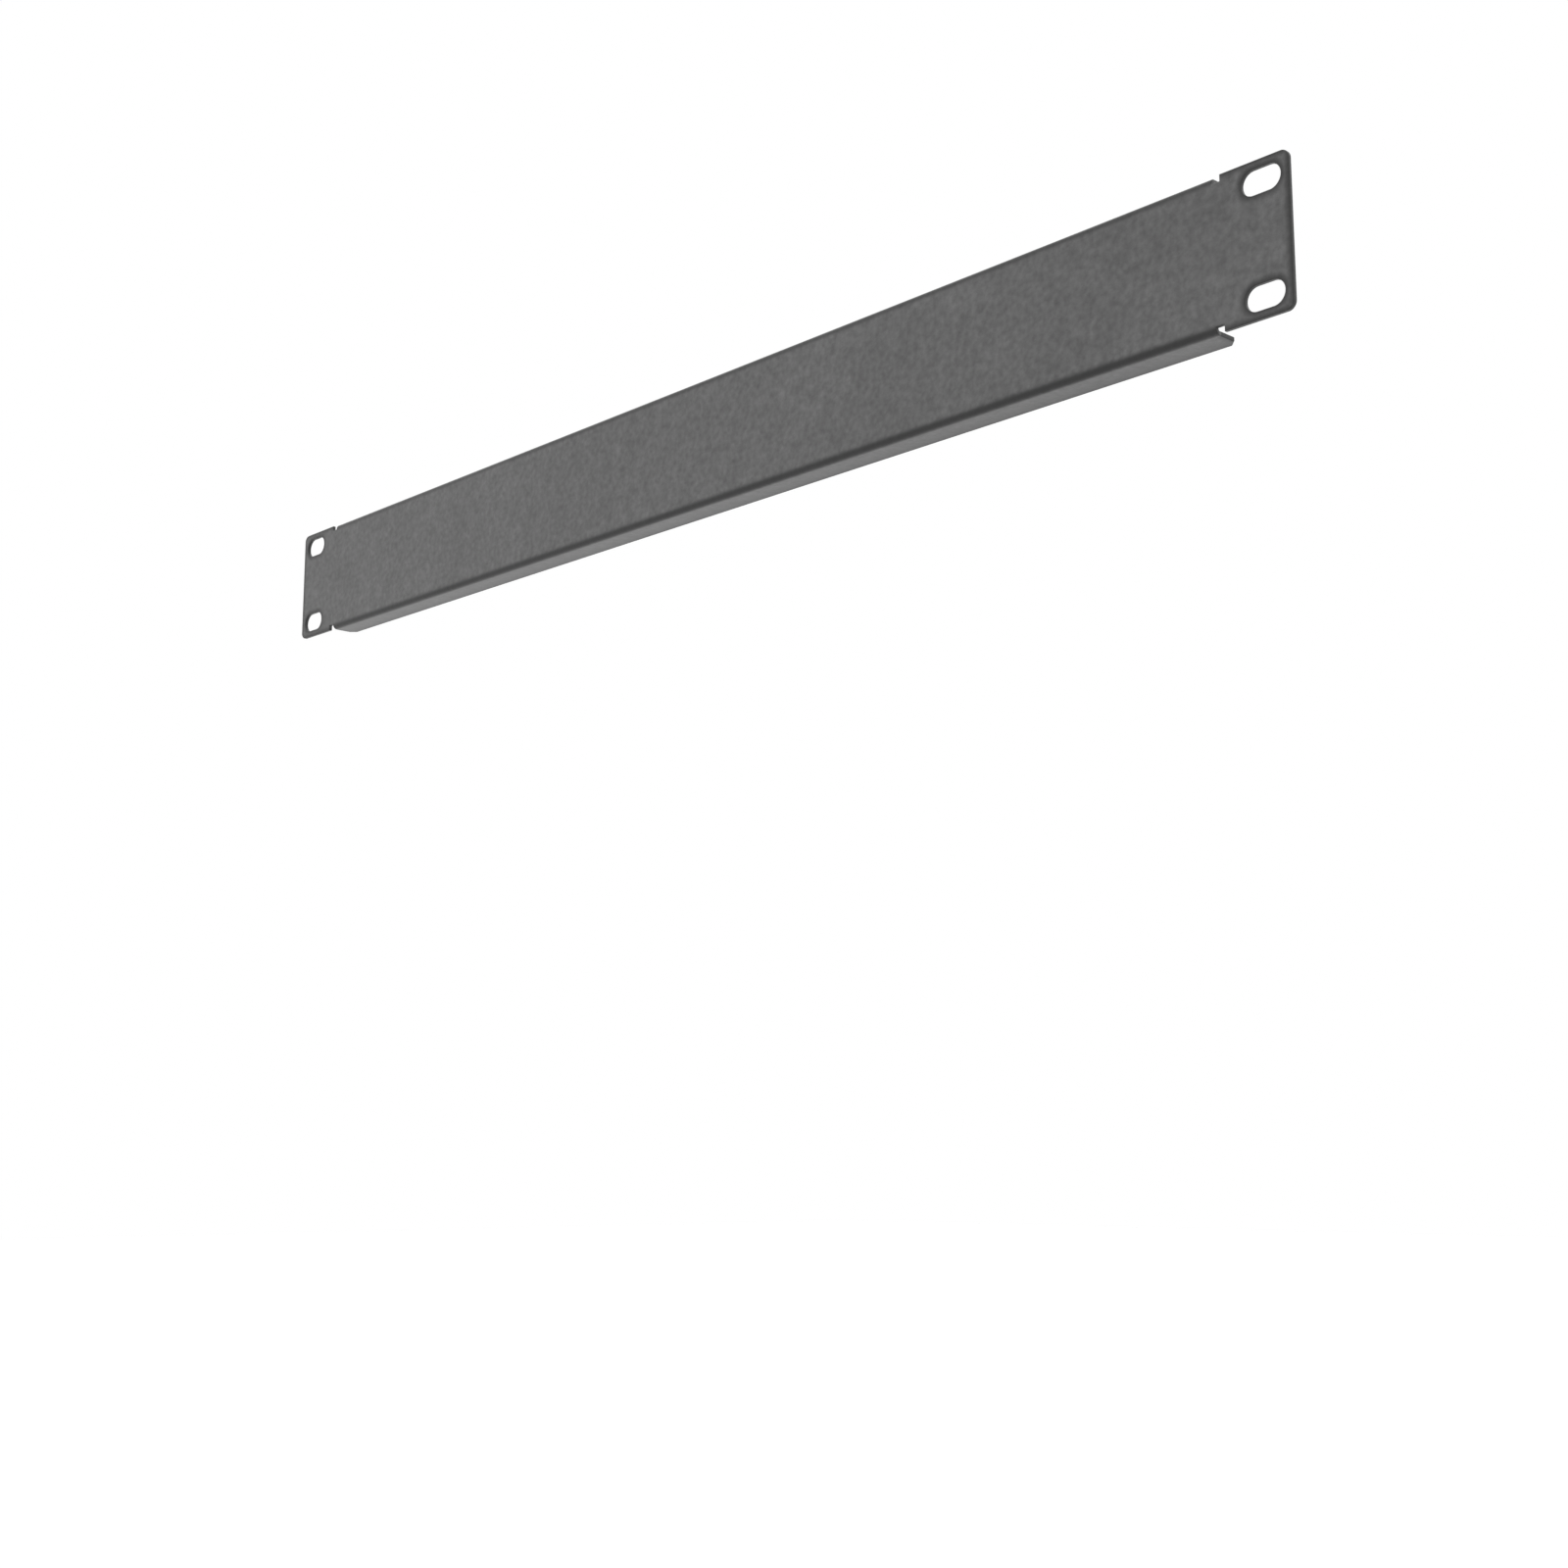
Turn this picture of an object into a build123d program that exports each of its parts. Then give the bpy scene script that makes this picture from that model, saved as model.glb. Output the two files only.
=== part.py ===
from build123d import *
from math import isclose
import os

# A one-unit blanking panel for a 19-inch rack, folded from one steel sheet.
# X runs across the rack, +Y goes back into it and +Z is up.
# The origin is the middle of the four slots, on the plane where the ears meet the rack's rails.

# Driving dimensions, in millimetres.
unit_height = 44.45  # height of the space that the panel closes
height_play = 0.79  # how much lower than that space the panel is
hole_spacing_between_units = 12.7  # from one unit's last rail hole to the next unit's first
slot_spacing_across = 465.1  # between the slots' centres, from rail to rail
slot_to_side_edge = 8.75  # from a slot's centre out to the panel's side edge
slot_to_rail_edge = 7.55  # from a slot's centre in to the edge of the rail behind it
slot_length = 12.2  # end to end, along X
slot_width = 7.15  # across its straight sides

sheet_thickness = 1.35  # the steel with its coat on both sides
corner_radius = 2.5  # at the four outer corners of the ears
edge_break = 0.2  # how far every cut edge is broken before the sheet is coated

fold_depth = 10.2  # from the front of the face to a flange's rear edge
bend_inner_radius = 0.45
flange_end_clearance = 7.9  # from a flange's end to the edge of the rail beside it
flange_corner_cut = 2.2  # how far each flange's two rear corners are clipped, at 45 degrees
relief_width = 2.6  # from a flange's end to the ear
relief_corner_radius = 0.1  # in the two inner corners, which lie just past the bend line

# Sizes worked out from them.
panel_width = slot_spacing_across + 2 * slot_to_side_edge
panel_height = unit_height - height_play
slot_spacing_up = unit_height - hole_spacing_between_units
bend_outer_radius = bend_inner_radius + sheet_thickness
bend_line = panel_height / 2 - bend_outer_radius
flange_rear = fold_depth - sheet_thickness
flange_length = slot_spacing_across - 2 * slot_to_rail_edge - 2 * flange_end_clearance
relief_depth = bend_outer_radius + relief_corner_radius


def front_outline():
    """The front's flat outline, with each fold's strip and its two reliefs cut away."""
    outline = RectangleRounded(panel_width, panel_height, corner_radius)
    folded_strip = Rectangle(flange_length, 2 * bend_outer_radius)
    relief = RectangleRounded(relief_width, 2 * relief_depth, relief_corner_radius)
    for edge_z in (panel_height / 2, -panel_height / 2):
        outline -= Pos(0, edge_z) * folded_strip
        for relief_place in GridLocations(flange_length + relief_width, 0, 2, 1):
            outline -= Pos(0, edge_z) * relief_place * relief
    return outline


def slots():
    """The four full-radius slots that the rack's screws pass through."""
    places = GridLocations(slot_spacing_across, slot_spacing_up, 2, 2)
    return places * SlotOverall(slot_length, slot_width)


def front():
    """Both ears and the face between them, flat against the rails' plane."""
    return extrude(Plane.XZ * (front_outline() - slots()), sheet_thickness)


def flange_section():
    """Section of the upper fold in Y and Z: a quarter bend that runs into a flat return."""
    bend_centre = (bend_inner_radius, bend_line)
    outer_bend = CenterArc(bend_centre, bend_outer_radius, 90, 90)
    inner_bend = CenterArc(bend_centre, bend_inner_radius, 90, 90)
    rear_outside = (flange_rear, panel_height / 2)
    rear_inside = (flange_rear, panel_height / 2 - sheet_thickness)
    outer_face = Line(outer_bend @ 0, rear_outside)
    rear_edge = Line(rear_outside, rear_inside)
    inner_face = Line(rear_inside, inner_bend @ 0)
    bend_root = Line(inner_bend @ 1, outer_bend @ 1)
    return make_face([outer_bend, outer_face, rear_edge, inner_face, inner_bend, bend_root])


def upper_flange():
    """The strip folded back along the top. It ends short of both ears, and its rear corners are clipped."""
    flange = extrude(Plane.YZ * flange_section(), flange_length / 2, both=True)
    rear_corners = flange.edges().filter_by(Axis.Z).group_by(Axis.Y)[-1]
    return chamfer(rear_corners, flange_corner_cut)


def crosses_sheet(edge):
    """True for a short edge that goes straight through the sheet, from skin to skin."""
    return edge.geom_type == GeomType.LINE and isclose(edge.length, sheet_thickness, abs_tol=1e-6)


def is_bend_line(edge):
    """True for a smooth line along which a flat runs into a bend: it alone is as long as the fold."""
    return isclose(edge.length, flange_length, abs_tol=1e-6)


def break_cut_edges(sheet):
    """Break the edges between the sheet's skins and its cuts, slots included."""
    cut_edges = [edge for edge in sheet.edges() if not crosses_sheet(edge) and not is_bend_line(edge)]
    return chamfer(cut_edges, edge_break)


def build_panel():
    """The whole panel: a front and two flanges folded back from it, with no sharp edge left."""
    flange = upper_flange()
    sheet = front() + flange + mirror(flange, Plane.XY)
    return break_cut_edges(sheet)


os.makedirs("parts", exist_ok=True)
export_step(build_panel(), "parts/blanking_panel.step")
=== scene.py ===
import math
import bpy
from mathutils import Euler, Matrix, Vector


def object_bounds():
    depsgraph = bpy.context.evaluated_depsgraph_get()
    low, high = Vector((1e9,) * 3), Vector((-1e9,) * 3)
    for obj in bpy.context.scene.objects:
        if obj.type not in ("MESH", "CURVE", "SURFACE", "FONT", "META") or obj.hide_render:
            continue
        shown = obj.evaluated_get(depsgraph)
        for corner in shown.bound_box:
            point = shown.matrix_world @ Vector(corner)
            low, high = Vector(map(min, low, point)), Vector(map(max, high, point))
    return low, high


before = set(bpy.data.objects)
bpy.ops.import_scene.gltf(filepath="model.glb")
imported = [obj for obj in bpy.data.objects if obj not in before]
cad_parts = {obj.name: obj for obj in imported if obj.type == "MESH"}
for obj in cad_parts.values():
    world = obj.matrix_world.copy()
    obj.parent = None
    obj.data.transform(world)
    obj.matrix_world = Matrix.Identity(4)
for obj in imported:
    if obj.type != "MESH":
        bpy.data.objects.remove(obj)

# The folded panel is the model's own solid. This script gives it its powder coat,
# a pale floor, a soft studio and the photograph's camera. Lengths are in metres.
cad_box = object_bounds()
mm = 0.001
white = (1.0, 1.0, 1.0, 1.0)

# The camera, fitted to the panel's slots and outline in the photograph.
camera_place = Vector((0.53856, -0.45418, -0.23669))
camera_azimuth = 47.11  # degrees, from straight on round to the panel's right
camera_pitch = 9.95  # degrees above level: the camera looks up at the panel
sensor_width = 36.0  # millimetres
lens_length = 50.29  # millimetres

# The studio: a white tent all round, open towards the front and below, where it is nearly dark.
light_direction = Vector((-0.29, 0.56, 0.78))
light_edge = -0.48  # cosine from the light's direction at which it has faded out
light_full = -0.18  # cosine at which it has its full strength
light_strength = 1.5
room_strength = 0.05
backdrop_strength = 1.0  # plain white, to the camera and in reflections
floor_drop = 0.45  # from the panel's middle down to the floor
floor_size = 12.0
floor_colour = (0.73, 0.73, 0.73, 1.0)

# The powder coat.
coat_colour = (0.125, 0.125, 0.125)
coat_roughness = 0.35
grain_size = 1.9 * mm
fine_grain_size = 0.6 * mm
mottle_size = 6 * mm
cloud_size = 40 * mm
grain_contrast = 0.55  # the colour goes this far up and down with the grain, as a share of itself
mottle_contrast = 0.21
cloud_contrast = 0.16
roughness_spread = 0.06  # and the roughness this far
grain_depth = 0.07 * mm
fine_grain_depth = 0.03 * mm

# Painted shade: the coat's colour is darkened along every cut edge, along each bend and towards the
# flanges' rear edges, standing in for shade.
painted_edge_shade_width = 2.4 * mm  # painted shade reaches this close to an edge
painted_edge_shade_level = 0.15  # of its colour, at the edge itself, where the painted shade is deepest
painted_bend_shade_width = 1.9 * mm  # painted shade reaches this close to a line along each bend, near the bend's front end
painted_bend_shade_level = 0.22  # of its colour, on that line, where the painted shade is deepest
painted_flange_shade_width = 6.5 * mm  # painted shade, more softly, reaches this close to a flange's rear edge
painted_flange_shade_level = 0.45  # of its colour under the painted shade, at that edge
painted_shade_end_steepness = 5.0  # how much faster a painted shade fades past the end of its own stretch

# The panel's outline and bends, from which the painted shade is worked out.
panel_low, panel_high = cad_box
half_width = panel_high[0]
half_height = panel_high[2]
front_y = panel_low[1]
flange_rear_y = panel_high[1]
flange_end_x = 217.1 * mm
flange_front_y = 1.0 * mm  # a flange's end is an edge only behind this
# Where the line of painted shade along each bend lies, near the bend's front end.
painted_bend_shade_y = -1.05 * mm
painted_bend_shade_z = 20.7 * mm
slot_x = 232.55 * mm
slot_z = 15.875 * mm
slot_radius = 3.575 * mm
slot_half_straight = 2.525 * mm


def node(tree, kind, **settings):
    """A new shader node, with its properties and its inputs' values set by name."""
    made = tree.nodes.new(kind)
    for name, value in settings.items():
        if hasattr(made, name):
            setattr(made, name, value)
        else:
            made.inputs[name.replace("_", " ").title()].default_value = value
    return made


def noise(tree, place, size, detail=1.0):
    """Noise of a given grain size, from 0 to 1."""
    made = node(tree, "ShaderNodeTexNoise", scale=1 / size, detail=detail)
    tree.links.new(place, made.inputs["Vector"])
    return made.outputs["Fac"]


def spread(tree, value, middle, reach):
    """A 0 to 1 value spread round a middle, with the same reach below and above it."""
    made = node(tree, "ShaderNodeMapRange", clamp=False, to_min=middle - reach, to_max=middle + reach)
    tree.links.new(value, made.inputs["Value"])
    return made.outputs["Result"]


def smooth_rise(tree, value, start, end, least, most):
    """A value that rises smoothly from its least to its most while another goes from start to end."""
    made = node(tree, "ShaderNodeMapRange", interpolation_type="SMOOTHSTEP",
                from_min=start, from_max=end, to_min=least, to_max=most)
    tree.links.new(value, made.inputs["Value"])
    return made.outputs["Result"]


def calculated(tree, operation, first, second=0.0):
    """The result of one step of arithmetic. Each term is a number or another node's output."""
    made = node(tree, "ShaderNodeMath", operation=operation)
    for term, socket in zip((first, second), made.inputs):
        if isinstance(term, (int, float)):
            socket.default_value = term
        else:
            tree.links.new(term, socket)
    return made.outputs["Value"]


def times(tree, first, second):
    """The product of two values."""
    return calculated(tree, "MULTIPLY", first, second)


def past(tree, value, limit):
    """How far a value is past a limit, and 0 short of it."""
    return calculated(tree, "MAXIMUM", calculated(tree, "SUBTRACT", value, limit), 0.0)


def away(tree, value, target):
    """How far a value is from a target, either way."""
    return calculated(tree, "ABSOLUTE", calculated(tree, "SUBTRACT", value, target))


def diagonal(tree, first, second):
    """The length of the diagonal over two sides."""
    squares = calculated(tree, "ADD", times(tree, first, first), times(tree, second, second))
    return calculated(tree, "SQRT", squares)


def with_end(tree, distance, past_end):
    """A distance that grows quickly past the end of a painted shade's own stretch, so that the painted
    shade stops there.
    """
    return calculated(tree, "ADD", distance, times(tree, past_end, painted_shade_end_steepness))


def quarter_place(tree, place):
    """A point's place across, back and up, with the panel's four like quarters laid over each other."""
    split = tree.nodes.new("ShaderNodeSeparateXYZ")
    tree.links.new(place, split.inputs[0])
    across = calculated(tree, "ABSOLUTE", split.outputs["X"])
    up = calculated(tree, "ABSOLUTE", split.outputs["Z"])
    return across, split.outputs["Y"], up


def edge_distance(tree, across, back, up):
    """How far a point of the panel's skin is from the nearest edge, slots included."""
    nearest = away(tree, across, half_width)
    front_corner = diagonal(tree, away(tree, up, half_height), away(tree, back, front_y))
    flange_rear = away(tree, back, flange_rear_y)
    before_flange = past(tree, flange_front_y, back)
    flange_end = with_end(tree, away(tree, across, flange_end_x), before_flange)
    slot_across = past(tree, away(tree, across, slot_x), slot_half_straight)
    slot = away(tree, diagonal(tree, slot_across, away(tree, up, slot_z)), slot_radius)
    for distance in (front_corner, flange_rear, flange_end, slot):
        nearest = calculated(tree, "MINIMUM", nearest, distance)
    return nearest


def bend_distance(tree, across, back, up):
    """How far a point is from the line of painted shade along the nearer bend, which ends with the flange.
    """
    from_line = diagonal(tree, away(tree, up, painted_bend_shade_z), away(tree, back, painted_bend_shade_y))
    return with_end(tree, from_line, past(tree, across, flange_end_x))


def painted_shade(tree, place):
    """Painted shade: a factor on the coat's colour, under 1 along every edge and bend."""
    across, back, up = quarter_place(tree, place)
    from_edge = edge_distance(tree, across, back, up)
    from_bend = bend_distance(tree, across, back, up)
    from_flange_rear = away(tree, back, flange_rear_y)
    shade = smooth_rise(tree, from_edge, 0.0, painted_edge_shade_width, painted_edge_shade_level, 1.0)
    shade = times(tree, shade, smooth_rise(tree, from_bend, 0.0, painted_bend_shade_width, painted_bend_shade_level, 1.0))
    flange_shade = smooth_rise(tree, from_flange_rear, 0.0, painted_flange_shade_width, painted_flange_shade_level, 1.0)
    return times(tree, shade, flange_shade)


def bump(tree, height, depth):
    """A bump node for a surface that rises by depth over a 0 to 1 height."""
    made = node(tree, "ShaderNodeBump", distance=depth)
    tree.links.new(height, made.inputs["Height"])
    return made


def powder_coat():
    """Dark grey, satin, finely textured powder coat, with painted shade along its edges and bends."""
    material = bpy.data.materials.new("powder_coat")
    material.use_nodes = True
    tree = material.node_tree
    surface = tree.nodes["Principled BSDF"]
    place = tree.nodes.new("ShaderNodeTexCoord").outputs["Object"]
    grain = noise(tree, place, grain_size, detail=2.0)
    fine_grain = noise(tree, place, fine_grain_size)
    mottle = noise(tree, place, mottle_size)
    cloud = noise(tree, place, cloud_size)

    # Painted shade along the edges and bends, which the coat's grain, mottle and cloud then vary.
    shade = painted_shade(tree, place)
    for pattern, contrast in ((grain, grain_contrast), (mottle, mottle_contrast), (cloud, cloud_contrast)):
        shade = times(tree, shade, spread(tree, pattern, 1.0, contrast))
    colour = node(tree, "ShaderNodeVectorMath", operation="SCALE")
    colour.inputs[0].default_value = coat_colour
    tree.links.new(shade, colour.inputs["Scale"])
    tree.links.new(colour.outputs["Vector"], surface.inputs["Base Color"])
    roughness = spread(tree, grain, coat_roughness, roughness_spread)
    tree.links.new(roughness, surface.inputs["Roughness"])

    coarse_relief = bump(tree, grain, grain_depth)
    fine_relief = bump(tree, fine_grain, fine_grain_depth)
    tree.links.new(coarse_relief.outputs["Normal"], fine_relief.inputs["Normal"])
    tree.links.new(fine_relief.outputs["Normal"], surface.inputs["Normal"])
    return material


def studio():
    """A world that is plain white to look at, in reflections too, and lights the panel softly."""
    world = bpy.data.worlds.new("studio")
    world.use_nodes = True
    bpy.context.scene.world = world
    tree = world.node_tree
    direction = tree.nodes.new("ShaderNodeTexCoord").outputs["Generated"]
    facing = node(tree, "ShaderNodeVectorMath", operation="DOT_PRODUCT")
    facing.inputs[1].default_value = light_direction.normalized()
    tree.links.new(direction, facing.inputs[0])
    cosine = facing.outputs["Value"]
    strength = smooth_rise(tree, cosine, light_edge, light_full, room_strength, light_strength)
    light = tree.nodes["Background"]
    light.inputs["Color"].default_value = white
    tree.links.new(strength, light.inputs["Strength"])

    backdrop = node(tree, "ShaderNodeBackground", strength=backdrop_strength)
    backdrop.inputs["Color"].default_value = white
    rays = tree.nodes.new("ShaderNodeLightPath").outputs
    seen = calculated(tree, "MAXIMUM", rays["Is Camera Ray"], rays["Is Glossy Ray"])
    seen = calculated(tree, "MAXIMUM", seen, rays["Is Transmission Ray"])
    chooser = tree.nodes.new("ShaderNodeMixShader")
    tree.links.new(seen, chooser.inputs["Fac"])
    tree.links.new(light.outputs[0], chooser.inputs[1])
    tree.links.new(backdrop.outputs[0], chooser.inputs[2])
    tree.links.new(chooser.outputs[0], tree.nodes["World Output"].inputs["Surface"])


def floor():
    """A plain pale floor, well below the panel. It takes the panel's shadow and throws no light back up."""
    material = bpy.data.materials.new("floor")
    material.use_nodes = True
    tree = material.node_tree
    matt = tree.nodes.new("ShaderNodeBsdfDiffuse")
    matt.inputs["Color"].default_value = floor_colour
    tree.links.new(matt.outputs[0], tree.nodes["Material Output"].inputs["Surface"])

    half = floor_size / 2
    corners = [(-half, -half, 0), (half, -half, 0), (half, half, 0), (-half, half, 0)]
    mesh = bpy.data.meshes.new("floor")
    mesh.from_pydata(corners, [], [(0, 1, 2, 3)])
    mesh.materials.append(material)
    made = bpy.data.objects.new("floor", mesh)
    made.location.z = -floor_drop
    made.visible_diffuse = False
    made.visible_glossy = False
    made.visible_transmission = False
    made.visible_shadow = False
    bpy.context.scene.collection.objects.link(made)


def camera():
    """The photograph's camera."""
    data = bpy.data.cameras.new("camera")
    data.sensor_width = sensor_width
    data.lens = lens_length
    made = bpy.data.objects.new("camera", data)
    made.location = camera_place
    turn = (math.radians(90 + camera_pitch), 0, math.radians(camera_azimuth))
    made.rotation_euler = Euler(turn, "XYZ")
    bpy.context.scene.collection.objects.link(made)
    bpy.context.scene.camera = made


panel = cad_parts["blanking_panel"]
coat = powder_coat()
for slot in panel.material_slots:
    slot.material = coat
studio()
floor()
camera()
bpy.context.scene.view_settings.view_transform = "Standard"
